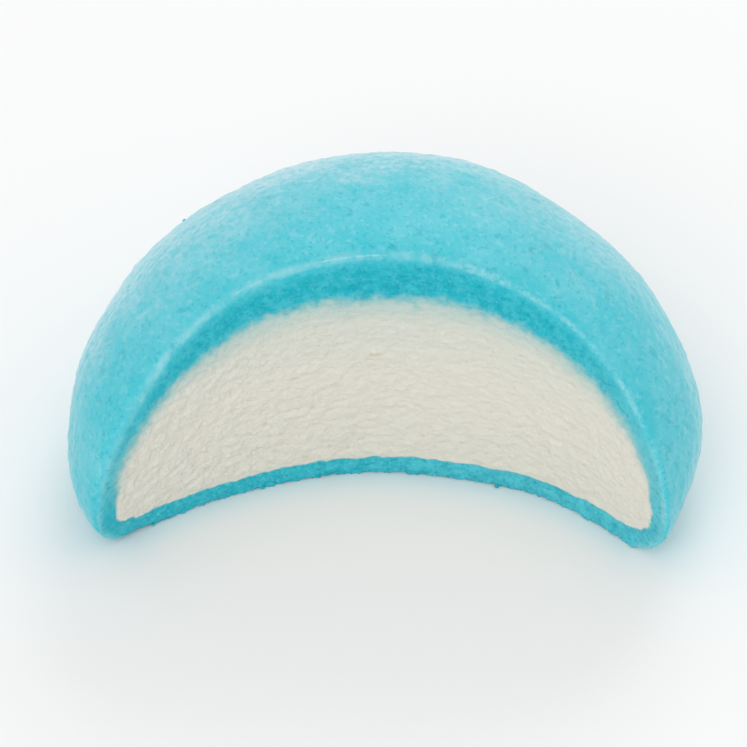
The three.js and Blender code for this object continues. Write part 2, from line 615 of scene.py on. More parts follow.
@dataclass
class BittenBody:
    """The whole bitten ball as one fine solid, before dough and ice cream part.

    Attributes:
        ball: The form of the whole.
        bite: What is taken out of it.
        grid: Millimetres between the points of the fine surface.
        rim_top: Radius of the rim's rounding at the top of the dome.
        rim_left: Radius of the rim's rounding at the foot of the left tip.
        rim_right: The same at the right tip.
        rim_passes: How often the rim is smoothed where its rounding is widest.
        wrap_left: How far the skin wraps round the rim on the left side.
        wrap_right: The same on the right side.
    """

    ball: SettledBall
    bite: Bite
    grid: float = 0.26
    rim_top: float = 1.3
    rim_left: float = 1.2
    rim_right: float = 0.3
    rim_passes: int = 140
    wrap_left: float = 0.45
    wrap_right: float = 0.3

    def edge_distance(self, points: np.ndarray) -> np.ndarray:
        """Returns how far each point lies from the edge between skin and bite."""
        return np.hypot(self.ball.gap(points), self.bite.gap(points))

    def turn(self, points: np.ndarray) -> np.ndarray:
        """Returns how far points lie past the skin's edge, which wraps round the sides of the rim.

        Args:
            points: Rows of x, y and z in millimetres.

        Returns:
            Millimetres, below zero on the skin and above on the bitten wall.
        """
        wrapped = np.where(points[:, 0] < self.ball.axis[0], self.wrap_left, self.wrap_right)
        wrapped = wrapped * smooth_step(-points[:, 2], -18.0, -11.0)
        return self.bite.gap(points) - self.ball.gap(points) - wrapped

    def part_areas(self, shell: bpy.types.Object) -> None:
        """Gives the second material slot to the faces of the wall, past the rim."""
        shell.active_material_index = 1
        past_rim = self.turn(Bench.points(shell)) > 0.4
        Bench.work(shell, past_rim, bpy.ops.object.material_slot_assign)

    def finish_piece(self, piece: bpy.types.Object, cream_ball: SettledBall) -> None:
        """Writes what the finishes read and shades all but the sharpest edges smoothly.

        Args:
            piece: The dough or the ice cream, in millimetres.
            cream_ball: The ball of ice cream.
        """
        points = Bench.points(piece)
        Bench.mark(piece, Mark.TURN, self.turn(points))
        Bench.mark(piece, Mark.DEPTH, cream_ball.gap(points))
        Bench.mark(piece, Mark.HEIGHT, points[:, 2])
        Bench.activate(piece)
        bpy.ops.object.shade_smooth_by_angle(angle=math.radians(50))

    def build(self) -> bpy.types.Object:
        """Models the body with its soft rim and an even, fine surface.

        Returns:
            The closed solid, in millimetres.
        """
        body = self.ball.model("bitten_body")
        cutter = self.bite.model("bite_cutter")
        Bench.cut(body, cutter, "DIFFERENCE")
        bpy.data.objects.remove(cutter)
        body.data.remesh_voxel_size = self.grid
        Bench.activate(body)
        bpy.ops.object.voxel_remesh()
        Bench.apply(body, "SMOOTH", factor=0.5, iterations=4)
        self.soften_rim(body)
        self.refine_wall(body)
        return body

    def soften_rim(self, body: bpy.types.Object) -> None:
        """Rounds the rim more and more towards the top of the dome."""
        points = Bench.points(body)
        share = np.clip(points[:, 2] / self.ball.top, 0, 1)
        foot = np.where(points[:, 0] < self.ball.axis[0], self.rim_left, self.rim_right)
        radius = foot + (self.rim_top - foot) * share
        strength = (radius / self.rim_top) ** 2
        near = 1 - smooth_step(self.edge_distance(points), 1.2 * radius, 2.4 * radius)
        Bench.smooth(body, self.rim_passes, near * strength)

    def refine_wall(self, body: bpy.types.Object) -> None:
        """Divides the bitten wall and its rim once more."""
        wall = self.bite.gap(Bench.points(body)) > -1.2
        Bench.work(body, wall, lambda: bpy.ops.mesh.subdivide(number_cuts=1))
        Bench.smooth(body, 3, smooth_step(self.bite.gap(Bench.points(body)), -1.4, -1.0))


@dataclass
class Wrapper:
    """The rice dough: a shell round the ice cream, powdery outside and damp where cut."""

    body: BittenBody
    cavity: SettledBall
    skin_relief: tuple[Relief, ...] = (
        Relief("dough_lumps", 5.5, 0.14),
        Relief("orange_peel", 1.0, 0.13, grain=ROLLED),
        Relief("powder_grain", 0.5, 0.08, grain=ROLLED),
    )
    cut_relief: tuple[Relief, ...] = (
        Relief("torn_dough", 1.4, 0.14),
        Relief("cut_grain", 0.4, 0.09),
    )
    foot_relief: tuple[Relief, ...] = (
        Relief("torn_foot", 0.9, 0.2),
        Relief("foot_nubs", 0.35, 0.26, pattern=Pattern.CREASED, middle=0.4),
    )

    def build(self, solid: bpy.types.Object, hollow: bpy.types.Object) -> bpy.types.Object:
        """Models the shell.

        Args:
            solid: The bitten body.
            hollow: The whole ball of ice cream.

        Returns:
            The dough, in millimetres.
        """
        shell = Bench.copy(solid, "mochi_dough_shell")
        Bench.cut(shell, hollow, "DIFFERENCE")
        self.work_surface(shell)
        self.body.finish_piece(shell, self.cavity)
        return shell

    def outside(self, points: np.ndarray) -> np.ndarray:
        """Returns 1 where a point is on the outside of the dough and 0 in its hollow."""
        outer = self.body.ball.gap(points) > -1.0
        wall = self.body.bite.gap(points) > -0.4
        return (outer | wall).astype(float)

    def work_surface(self, shell: bpy.types.Object) -> None:
        """Gives skin and cut band their own relief, which fades out at base and seam."""
        points = Bench.points(shell)
        height = points[:, 2]
        cut = smooth_step(self.body.bite.gap(points), -0.7, -0.1)
        above_base = smooth_step(height, 0.05, 0.6)
        floor_seam = smooth_step(np.abs(height - self.cavity.floor), 0.02, 0.3)
        seam = smooth_step(np.abs(self.cavity.gap(points)), 0.05, 0.5)
        seam = np.where(height < self.cavity.floor, floor_seam, seam)
        on_wall = self.outside(points) * cut
        Bench.group(shell, "skin", self.outside(points) * above_base * (1 - cut))
        Bench.group(shell, "cut", on_wall * seam)
        Bench.group(shell, "foot", on_wall * smooth_step(-height, -0.75, -0.1))
        for relief in self.skin_relief:
            relief.work_into(shell, "skin")
        for relief in self.cut_relief:
            relief.work_into(shell, "cut")
        for relief in self.foot_relief:
            relief.work_into(shell, "foot")
        shell.vertex_groups.clear()
        flatten_below_ground(shell)


@dataclass
class Filling:
    """The ice cream: off-white, broken into small frozen scales where it is bitten."""

    body: BittenBody
    ball: SettledBall
    waves: Relief = Relief("cream_waves", 2.6, 0.16, grain=Grain((1.3, 1.3, 0.9)))
    scales: tuple[Relief, ...] = (
        Relief("cream_scales", 1.15, 0.32, 2, Grain((1.2, 1.2, 0.85)), Pattern.CREASED, 0.2),
        Relief("cream_flakes", 0.45, 0.13, 1, FROZEN, Pattern.CREASED, 0.2),
    )

    def build(self, solid: bpy.types.Object, whole: bpy.types.Object) -> bpy.types.Object:
        """Models the bitten ice cream.

        Args:
            solid: The bitten body.
            whole: The whole ball of ice cream.

        Returns:
            The ice cream, in millimetres.
        """
        cream = Bench.copy(solid, "ice_cream_core")
        Bench.cut(cream, whole, "INTERSECT")
        points = Bench.points(cream)
        wall = smooth_step(self.body.bite.gap(points), -0.3, -0.1)
        seam = smooth_step(-self.ball.gap(points), 0.02, 0.8)
        foot = smooth_step(points[:, 2] - self.ball.floor, 0.02, 0.35)
        across, _, height = (points - (*self.ball.axis, 0)).T
        # The scales stand out most at the lower left.
        coarse = np.clip(0.94 - 0.012 * across - 0.02 * height, 0.5, 1)
        Bench.group(cream, "face", wall * seam * foot * coarse)
        self.waves.work_into(cream, "face")
        smooth = self.body.bite.gap(Bench.points(cream))
        for relief in self.scales:
            relief.work_into(cream, "face")
        cream.vertex_groups.clear()
        Bench.mark(cream, Mark.RELIEF, self.body.bite.gap(Bench.points(cream)) - smooth)
        self.body.finish_piece(cream, self.ball)
        return cream


@dataclass(frozen=True)
class Crumbs:
    """A few crumbs of dough that stick to the foot of the wall, and one to the skin.

    Attributes:
        axis: Where the dome's axis stands, as x and y in millimetres.
        near: Places from that axis that they lie next to, and their sizes, in millimetres.
        seed: For their turns.
    """

    axis: tuple[float, float]
    near: tuple[tuple[Triple, float], ...] = (
        ((-16.0, -5.2, 0.1), 0.30),
        ((-8.5, -1.0, 0.1), 0.36),
        ((-4.5, 0.0, 0.1), 0.28),
        ((7.75, -0.9, 0.1), 0.40),
        ((-14.2, 12.1, 14.1), 0.28),
    )
    seed: int = 7

    def build(self, shell: bpy.types.Object) -> bpy.types.Object:
        """Models one crumb, copies it to every place and joins the copies into one piece.

        Args:
            shell: The dough that they stick to, in millimetres.

        Returns:
            The crumbs, in millimetres.
        """
        chance = random.Random(self.seed)
        bpy.ops.object.select_all(action="DESELECT")
        bpy.ops.mesh.primitive_ico_sphere_add(subdivisions=2, radius=0.5, location=(0, 0, 0))
        model = bpy.context.object
        Bench.group(model, "all", np.ones(len(model.data.vertices)))
        Relief("crumb_lumps", 0.45, 0.3).work_into(model, "all")
        model.vertex_groups.clear()
        surface = Bench.points(shell)
        from_axis = surface - (*self.axis, 0)
        twins = []
        for place, size in self.near:
            off = np.linalg.norm(from_axis - place, axis=1)
            twin = Bench.copy(model, "dough_crumbs")
            twin.rotation_euler = [chance.uniform(0, math.tau) for _ in range(3)]
            twin.scale = [size * chance.uniform(0.8, 1.1) for _ in range(3)]
            twin.location = surface[off.argmin()]
            twins.append(twin)
        bpy.data.objects.remove(model)
        Bench.activate(twins[0])
        for twin in twins:
            twin.select_set(True)
        bpy.ops.object.join()
        crumbs = bpy.context.object
        crumbs.name = crumbs.data.name = "dough_crumbs"
        bpy.ops.object.transform_apply(location=True, rotation=True, scale=True)
        flatten_below_ground(crumbs)
        bpy.ops.object.shade_smooth()
        return crumbs


# ---- Finishes ------------------------------------------------------------------------------


@dataclass(frozen=True)
class Speckle:
    """A cloudy pattern that mixes one colour into another.

    Attributes:
        size: Millimetres from one cloud to the next.
        detail: Octaves of finer noise.
        start: The noise's value where the pattern is weakest. Its average is about 0.5.
        full: The value where it is strongest.
        most: The share of the second colour where it is strongest.
        least: The share where it is weakest.
        grain: How the clouds are drawn out.
    """

    size: float
    detail: float
    start: float
    full: float
    most: float
    least: float = 0.0
    grain: Grain = EVEN


class Recipe:
    """A material's node tree, laid out by short calls.

    Args:
        name: The material's name.
    """

    def __init__(self, name: str) -> None:
        self.material = bpy.data.materials.new(name)
        self.material.use_nodes = True
        self.tree = self.material.node_tree
        self.tree.nodes.clear()
        self.place = self.node("ShaderNodeTexCoord").outputs["Object"]
        self.shader = self.node("ShaderNodeBsdfPrincipled")
        output = self.node("ShaderNodeOutputMaterial")
        self.tree.links.new(self.shader.outputs[0], output.inputs["Surface"])

    def node(self, kind: str, inputs: dict[Any, Any] | None = None, **settings: Any) -> bpy.types.Node:
        """Adds a node.

        Args:
            kind: Blender's type of node.
            inputs: What its sockets get, by their number or name.
            **settings: Values for the node's properties.

        Returns:
            The new node.
        """
        made = self.tree.nodes.new(kind)
        for name, value in settings.items():
            setattr(made, name, value)
        self.feed(made, inputs or {})
        return made

    def feed(self, node: bpy.types.Node, inputs: dict[Any, Any]) -> None:
        """Links or sets a node's inputs.

        Args:
            node: The node.
            inputs: Sockets to link or plain values to set, by the input's number or name.
        """
        for key, value in inputs.items():
            if isinstance(value, Socket):
                self.tree.links.new(value, node.inputs[key])
            else:
                node.inputs[key].default_value = value

    def mark(self, mark: Mark) -> Socket:
        """Returns a number that the mesh remembers."""
        return self.node("ShaderNodeAttribute", attribute_name=mark.value).outputs["Fac"]

    @cached_property
    def height(self) -> Socket:
        """How many millimetres above the ground a point lies."""
        return self.mark(Mark.HEIGHT)

    @cached_property
    def across(self) -> Socket:
        """How many millimetres to the right a point lies."""
        return self.sum("DIVIDE", self.node("ShaderNodeSeparateXYZ", {0: self.place}).outputs[0], MM)

    def away(self, middle: Triple) -> Socket:
        """Measures how far points lie from a place.

        Args:
            middle: The place, in millimetres.

        Returns:
            The distance in millimetres.
        """
        ends = {0: self.place, 1: tuple(number * MM for number in middle)}
        made = self.node("ShaderNodeVectorMath", ends, operation="DISTANCE")
        return self.sum("DIVIDE", made.outputs["Value"], MM)

    def sum(self, operation: str, *numbers: Any) -> Socket:
        """Returns numbers joined by a Math node's operation."""
        return self.node("ShaderNodeMath", dict(enumerate(numbers)), operation=operation).outputs[0]

    def times(self, *factors: Any) -> Socket:
        """Returns the product of all factors."""
        return reduce(lambda first, second: self.sum("MULTIPLY", first, second), factors)

    def ruffle(self, number: Any, noise: Socket, most: float) -> Socket:
        """Returns a number that a noise moves up and down, by so much from end to end."""
        return self.sum("MULTIPLY_ADD", self.sum("SUBTRACT", noise, 0.5), most, number)

    def remap(
        self, value: Any, low: Any, high: Any, to_low: Any = 0.0, to_high: Any = 1.0, even: bool = False
    ) -> Socket:
        """Maps a range of numbers onto another and holds it there.

        Args:
            value: The number to map.
            low: Start of its range.
            high: End of its range.
            to_low: What the start becomes.
            to_high: What the end becomes.
            even: Whether the rise is even, or smooth at both ends.

        Returns:
            The mapped number.
        """
        inputs = dict(enumerate((value, low, high, to_low, to_high)))
        rise = "LINEAR" if even else "SMOOTHSTEP"
        return self.node("ShaderNodeMapRange", inputs, interpolation_type=rise).outputs[0]

    def upwards(self, low: Any, high: Any, to_low: Any = 0.0, to_high: Any = 1.0) -> Socket:
        """Returns a number that changes from one height to another, in millimetres."""
        return self.remap(self.height, low, high, to_low, to_high)

    def sideways(self, start: Any, end: Any, to_start: Any = 0.0, to_end: Any = 1.0) -> Socket:
        """Returns a number that changes from one place across to another, in millimetres."""
        return self.remap(self.across, start, end, to_start, to_end)

    def noise(self, size: float, detail: float = 2.0, grain: Grain = EVEN) -> Socket:
        """Makes a noise whose average is about 0.5.

        Args:
            size: Millimetres from one feature to the next.
            detail: Octaves of finer noise.
            grain: How it is drawn out.

        Returns:
            The noise's value.
        """
        inputs = {
            "Vector": self.place,
            "Rotation": (math.radians(grain.tilt), 0, 0),
            "Scale": tuple(size * MM * share for share in grain.stretch),
        }
        place = self.node("ShaderNodeMapping", inputs, vector_type="TEXTURE").outputs[0]
        made = self.node("ShaderNodeTexNoise", {"Vector": place, "Scale": 1.0, "Detail": detail})
        return made.outputs["Fac"]

    def speckle(self, pattern: Speckle, most: Any = None) -> Socket:
        """Lays out a cloudy pattern.

        Args:
            pattern: Its size and strength.
            most: Its greatest share, where that changes over the surface.

        Returns:
            The pattern's share.
        """
        noise = self.noise(pattern.size, pattern.detail, pattern.grain)
        most = pattern.most if most is None else most
        return self.remap(noise, pattern.start, pattern.full, pattern.least, most)

    def layers(self, colour: Any, *coats: tuple[Any, Any]) -> Socket:
        """Lays coats over a colour.

        Args:
            colour: The ground colour.
            *coats: Each one's share and colour, from the lowest up.

        Returns:
            The mixed colour.
        """
        for share, coat in coats:
            # The node's inputs 6 and 7 and its output 2 are the ones for colours.
            made = self.node("ShaderNodeMix", {0: share, 6: colour, 7: coat}, data_type="RGBA")
            colour = made.outputs[2]
        return colour

    def bumps(self, *noises: tuple[Socket, float]) -> Socket:
        """Lays bumps over each other.

        Args:
            *noises: Each one's height field, from 0 to 1, and its depth in millimetres.

        Returns:
            The bumped normal.
        """
        below = {}
        for height, depth in noises:
            inputs = {"Strength": 1.0, "Distance": depth * MM, "Height": height, **below}
            below = {"Normal": self.node("ShaderNodeBump", inputs).outputs[0]}
        return below["Normal"]

    def finish(self, **sockets: Any) -> bpy.types.Material:
        """Feeds the shader's sockets by name, with spaces as underscores, and returns the material."""
        self.feed(self.shader, {name.replace("_", " "): value for name, value in sockets.items()})
        return self.material


@dataclass(frozen=True)
class CutFace:
    """The colours of the bitten wall, which run from the dough into the ice cream.

    Attributes:
        mix: The node tree that they are laid out in.
        floor: Millimetres from the ground to the ice cream's flat foot.
        fleck_ends: Both ends of a small yellow fleck in the ice cream, in millimetres.
        blotches: Damp ones of the dough.
        flour_spots: Paler, floury ones.
        crumb: The dough's fine pale grain.
        pores: Its fine dark ones.
    """

    mix: Recipe
    floor: float = 1.8
    fleck_ends: tuple[Triple, Triple] = ((-0.82, -7.1, 12.65), (-0.48, -7.1, 12.65))
    deep: Colour = (0.012, 0.462, 0.562, 1)
    damp: Colour = (0.002, 0.405, 0.52, 1)
    wet_spot: Colour = (0.0, 0.34, 0.45, 1)
    floury: Colour = (0.12, 0.66, 0.76, 1)
    # Paler dough, the painted light on the lower and right-hand band.
    painted_light: Colour = (0.20, 0.61, 0.67, 1)
    tint: Colour = (0.36, 0.61, 0.60, 1)
    cream: Colour = (0.785, 0.758, 0.672, 1)
    # Painted shade: the colour that the ice cream darkens to at its top, under the rim.
    painted_overhang_shade: Colour = (0.72, 0.73, 0.65, 1)
    # Painted shade in the dents between the ice cream's scales.
    hollow: Colour = (0.67, 0.62, 0.46, 1)
    # Painted highlight on the tops of the ice cream's raised scales.
    painted_ridge_highlight: Colour = (0.80, 0.795, 0.745, 1)
    yellow: Colour = (0.62, 0.55, 0.22, 1)
    blotches: Speckle = Speckle(1.2, 3, 0.55, 0.35, 0.55)
    flour_spots: Speckle = Speckle(0.75, 3, 0.43, 0.62, 0.3)
    crumb: Speckle = Speckle(0.24, 3, 0.48, 0.72, 0.3)
    pores: Speckle = Speckle(0.36, 2, 0.48, 0.30, 0.6)

    def dough_share(self) -> Socket:
        """Finds how much dough shows.

        The border between dough and ice cream is a slow fade high up, with a long pale
        tail under the top of the dome, and a crisp frayed line round the foot.

        Returns:
            A share from 1 in the band to 0 in the ice cream.
        """
        mix = self.mix
        fray, drift = mix.noise(0.55, 4), mix.noise(2.6, 2)
        depth = mix.ruffle(mix.mark(Mark.DEPTH), drift, 0.9)
        soft, crisp = mix.ruffle(depth, fray, 1.5), mix.ruffle(depth, fray, 0.5)
        core = mix.remap(soft, -0.55, 1.0, 0, 0.7)
        tail = mix.remap(soft, mix.upwards(10, 16, -1.2, -2.6), 0.2, 0, 0.3)
        crisp_top = mix.sideways(-4, 8, self.floor + 2.2, self.floor + 4)
        high_up = mix.upwards(crisp_top, mix.sum("ADD", crisp_top, 6.0))
        sharp = mix.remap(crisp, -0.25, 0.25)
        side = mix.remap(high_up, 0, 1, sharp, mix.sum("ADD", core, tail), even=True)
        # The foot line rises a little at both tips and runs into the sides in round corners.
        rise = mix.sum("ADD", mix.sideways(-16, -18.6, 0, 0.9), mix.sideways(16.3, 18.6, 0.05, 1.0))
        below = mix.sum("SUBTRACT", mix.sum("ADD", rise, self.floor), mix.height)
        below = mix.ruffle(mix.ruffle(below, drift, 1.3), fray, 0.35)
        corner = mix.sum("SMOOTH_MAX", below, mix.sum("MULTIPLY_ADD", high_up, -4.0, crisp), 1.2)
        return mix.sum("MAXIMUM", side, mix.remap(corner, -0.1, 0.1))

    def dough(self) -> Socket:
        """Lays out the cut dough: paler lower down and most on the right as painted light, darkest high up
        as painted shade under the rim, and most mottled at the foot.

        Returns:
            Its colour.
        """
        mix = self.mix
        foot = mix.upwards(3, 1.5)
        # Painted light and shade: the band is paler lower down and most on the right, and darkest high up
        # under the rim.
        lit_low = mix.upwards(mix.sideways(-5, 8, 15, 18), mix.sideways(-5, 8, 7, 10), 0.0, 0.5)
        tip_low, tip_high = mix.sideways(-5, 5, 3, 2), mix.sideways(-5, 5, 8, 6)
        tip = mix.upwards(tip_low, tip_high, mix.sideways(-6, 10, 0, 0.5), mix.sideways(4, 12, 0.9, 1.2))

        def speckle(pattern: Speckle, at_foot: Any) -> Socket:
            """Returns a pattern's share, which has another strength at the foot."""
            return mix.speckle(pattern, mix.remap(foot, 0, 1, pattern.most, at_foot))

        return mix.layers(
            self.deep,
            (speckle(self.blotches, 0.9), self.damp),
            (mix.times(lit_low, tip), self.painted_light),
            (speckle(self.flour_spots, mix.sideways(-8, 6, 0.25, 0.55)), self.floury),
            (speckle(self.crumb, 0.7), self.floury),
            (mix.remap(foot, 0, 1, 0, 0.1), self.floury),
            (mix.speckle(self.pores), self.wet_spot),
        )

    def ice_cream(self) -> Socket:
        """Lays out the ice cream: darker at its top as painted shade under the rim, yellower in its dents
        as painted shade, and whiter on its raised scales as painted highlight.

        Returns:
            Its colour.
        """
        mix = self.mix
        level = mix.ruffle(mix.mark(Mark.RELIEF), mix.noise(0.5, 4, FROZEN), 0.2)
        near = mix.sum("MINIMUM", *(mix.away(place) for place in self.fleck_ends))
        near = mix.ruffle(near, mix.noise(0.3), 0.5)
        return mix.layers(
            self.cream,
            # Painted shade under the rim's overhang, darker towards the top.
            (mix.upwards(10, 16), self.painted_overhang_shade),
            # Painted shade where the scales dip back.
            (mix.remap(level, -0.01, -0.12, 0, 0.9), self.hollow),
            # Painted highlight where the scales stand proud.
            (mix.remap(level, 0.01, 0.16, 0, 0.4), self.painted_ridge_highlight),
            (mix.remap(near, 0.38, 0.08, 0, 0.5), self.yellow),
        )

    def paint(self) -> Socket:
        """Lays out the whole wall, tinted where dough and ice cream meet.

        Returns:
            Its colour.
        """
        mix, share = self.mix, self.dough_share()
        tint_share = mix.remap(share, 0, 0.5, even=True)
        dough_share = mix.remap(share, 0.5, 1, even=True)
        return mix.layers(self.ice_cream(), (tint_share, self.tint), (dough_share, self.dough()))


@dataclass(frozen=True)
class DoughFinish:
    """Turquoise rice dough: dusted and matt outside, deep and damp where it is cut.

    Attributes:
        area: Which of the dough's areas it covers. The cut one has no sheen.
        mix: The node tree that it is laid out in.
        clouds: Of paler skin.
        powder: Of fine dust.
        pits: Dark and as large as a pinhead.
        pinholes: Finer ones.
        flour_and_highlight_grain: Of the thick white dusting and its painted highlight.
        thin_highlight_grain: Of the rim's thin painted highlight line, left of the middle.
        broken: Of its faint line, further left.
        patchy: Of its soft patches.
        specks: Which the patches break into on the right.
        flour_and_highlight_patches: Of thick white dusting, which also paints the broad highlight at the
            top and upper left: its middle and its reach in millimetres, and its share.
    """

    area: Area
    mix: Recipe
    skin: Colour = (0.055, 0.565, 0.66, 1)
    pale: Colour = (0.12, 0.605, 0.695, 1)
    # Fine powder specks, and also the colour of the painted highlight along the rim.
    dust_and_rim_highlight: Colour = (0.50, 0.78, 0.83, 1)
    # Dark spots, and the painted shade low on the left flank.
    dark_spot_and_shade: Colour = (0.010, 0.45, 0.54, 1)
    flour_and_highlight: Colour = (0.78, 0.80, 0.88, 1)
    clouds: Speckle = Speckle(3.2, 4, 0.36, 0.66, 0.8)
    powder: Speckle = Speckle(0.4, 3, 0.48, 0.80, 0.26, grain=ROLLED)
    pits: Speckle = Speckle(0.7, 2, 0.42, 0.26, 0.6, grain=ROLLED)
    pinholes: Speckle = Speckle(0.28, 2, 0.44, 0.28, 0.6, grain=ROLLED)
    flour_and_highlight_grain: Speckle = Speckle(0.42, 3, 0.36, 0.64, 1.45, 0.5, ROLLED)
    thin_highlight_grain: Speckle = Speckle(0.4, 2, 0.36, 0.56, 0.55, 0.2)
    broken: Speckle = Speckle(0.8, 3, 0.40, 0.60, 0.42, 0.05)
    patchy: Speckle = Speckle(1.2, 3, 0.38, 0.66, 0.34, 0.06)
    specks: Speckle = Speckle(0.32, 2, 0.40, 0.60, 1.25, 0.3)
    flour_and_highlight_patches: tuple[tuple[Triple, float, float], ...] = (
        ((-1.0, 9.4, 16.5), 13.0, 0.31),
        ((-12.5, 1.9, 12.5), 16.0, 0.22),
        ((12.0, 2.9, 14.0), 15.0, 0.14),
        ((17.0, 6.0, 10.5), 8.0, 0.14),
        ((21.0, -6.0, 7.0), 9.0, 0.05),
        ((-20.0, -5.0, 9.0), 8.0, 0.07),
    )

    def outside(self) -> Socket:
        """Lays out the powdery skin, with painted shade that makes it a little deeper low on the left.

        Returns:
            Its colour.
        """
        mix = self.mix
        return mix.layers(
            self.skin,
            (mix.speckle(self.clouds), self.pale),
            (mix.speckle(self.powder), self.dust_and_rim_highlight),
            (mix.speckle(self.pits), self.dark_spot_and_shade),
            (mix.speckle(self.pinholes), self.dark_spot_and_shade),
            # Painted shade: the skin darkens low on the left flank.
            (mix.times(mix.upwards(9, 3, 0, 0.2), mix.sideways(-8, -14)), self.dark_spot_and_shade),
            # White dusting, partly painted highlight at the top and upper left.
            (self.flour_and_highlight_share(), self.flour_and_highlight),
        )

    def flour_and_highlight_share(self) -> Socket:
        """Lays out thick white dusting in patches with cloudy edges, partly real dusting and partly a
        painted highlight at the top and upper left.

        Returns:
            Its share.
        """
        mix = self.mix
        cloud = mix.noise(2.4, 4)
        share = 0.0
        for middle, reach, most in self.flour_and_highlight_patches:
            off = mix.ruffle(mix.away(middle), cloud, 9.0)
            share = mix.sum("ADD", share, mix.remap(off, reach, reach / 4, 0, most))
        return mix.times(share, mix.speckle(self.flour_and_highlight_grain))

    def rim_line(self, turn: Socket) -> Socket:
        """Lays out a painted highlight along the rim: thin lines on the left, soft patches elsewhere.

        Args:
            turn: Millimetres past the rim.

        Returns:
            The share of the painted rim highlight.
        """
        mix = self.mix
        off = mix.sum("ABSOLUTE", turn)
        thin_highlight_grain = mix.times(mix.sideways(-6, -3.5), mix.sideways(0.9, -0.9, 0, mix.speckle(self.thin_highlight_grain)))
        thin = mix.times(mix.remap(off, 0.16, 0.03), thin_highlight_grain)
        broken = mix.times(mix.sideways(-16, -13), mix.sideways(-3.5, -6, 0, mix.speckle(self.broken)))
        faint = mix.times(mix.remap(off, 0.24, 0.03), broken)
        tip = mix.upwards(4, 10, mix.sideways(-5, 5, 0.6, 1), 1)
        width = mix.sideways(4, 12, mix.upwards(4, 10, 0.35, 0.75), 0.42)
        specks = mix.sideways(2, 6, 1.0, mix.speckle(self.specks))
        soft = mix.times(mix.remap(off, width, 0.08), mix.speckle(self.patchy), tip, specks)
        return mix.sum("MAXIMUM", mix.sum("MAXIMUM", thin, faint), soft)

    def edge(self, turn: Socket) -> Socket:
        """Parts skin and wall: crisply at the tips, slowly at the dome's top, where the slow fade is partly
        painted shade over the rounded rim.

        Args:
            turn: Millimetres past the rim.

        Returns:
            A share from 0 on the skin to 1 on the wall.
        """
        mix = self.mix
        ragged = mix.ruffle(turn, mix.noise(0.5, 3), 0.35)
        # The wide fade at the top, widest on the left, paints the shade falling off over the rounded rim.
        return mix.remap(ragged, -0.08, mix.upwards(5, 17, 0.14, mix.sideways(-8, 6, 1.75, 1.25)))

    def make(self) -> bpy.types.Material:
        """Lays out the whole finish.

        Returns:
            The dough's material.
        """
        mix, floury = self.mix, self.area is Area.SKIN
        turn = mix.mark(Mark.TURN)
        # The rim line lays a painted highlight along the rim.
        wall, painted_light = (self.edge(turn), CutFace(mix).paint()), (self.rim_line(turn), self.dust_and_rim_highlight)
        return mix.finish(
            Base_Color=mix.layers(self.outside(), wall, painted_light),
            Roughness=0.55,
            Specular_IOR_Level=0.3 if floury else 0.15,
            Normal=mix.bumps((mix.noise(0.5, 3, ROLLED), 0.07), (mix.noise(0.17, 2, ROLLED), 0.02)),
            Subsurface_Weight=0.12,
            Subsurface_Radius=(0.3, 1.0, 1.0),
            Subsurface_Scale=0.4 * MM,
            Sheen_Weight=0.5 if floury else 0.0,
            Sheen_Roughness=0.3,
            Sheen_Tint=(0.95, 1.0, 1.0, 1),
        )


@dataclass(frozen=True)
class CreamFinish:
    """Off-white vanilla ice cream, tinted by the dough where they meet."""

    mix: Recipe

    def make(self) -> bpy.types.Material:
        """Lays out the whole finish.

        Returns:
            The ice cream's material.
        """
        mix = self.mix
        return mix.finish(
            Base_Color=CutFace(mix).paint(),
            Roughness=0.55,
            Specular_IOR_Level=0.3,
            Normal=mix.bumps((mix.noise(0.5, 4, FROZEN), 0.2), (mix.noise(0.17), 0.05)),
            Subsurface_Weight=0.12,
            Subsurface_Radius=(1.0, 0.95, 0.8),
            Subsurface_Scale=0.3 * MM,
        )


@dataclass(frozen=True)
class PlainFinish:
    """One colour all over.

    Attributes:
        name: The material's name.
        colour: Its colour.
        roughness: How matt it is.
        gloss: Its specular level.
    """

    name: str
    colour: Colour
    roughness: float
    gloss: float = 0.5

    def make(self) -> bpy.types.Material:
        """Returns the material."""
        sockets = {"Base_Color": self.colour, "Roughness": self.roughness, "Specular_IOR_Level": self.gloss}
        return Recipe(self.name).finish(**sockets)


CRUMB_FINISH = PlainFinish("dough_crumbs", (0.02, 0.46, 0.56, 1), 0.55, 0.15)
FLOOR_FINISH = PlainFinish("studio_floor", (0.93, 0.93, 0.93, 1), 0.9)


# ---- The studio ---------------------------------------------------------------------------


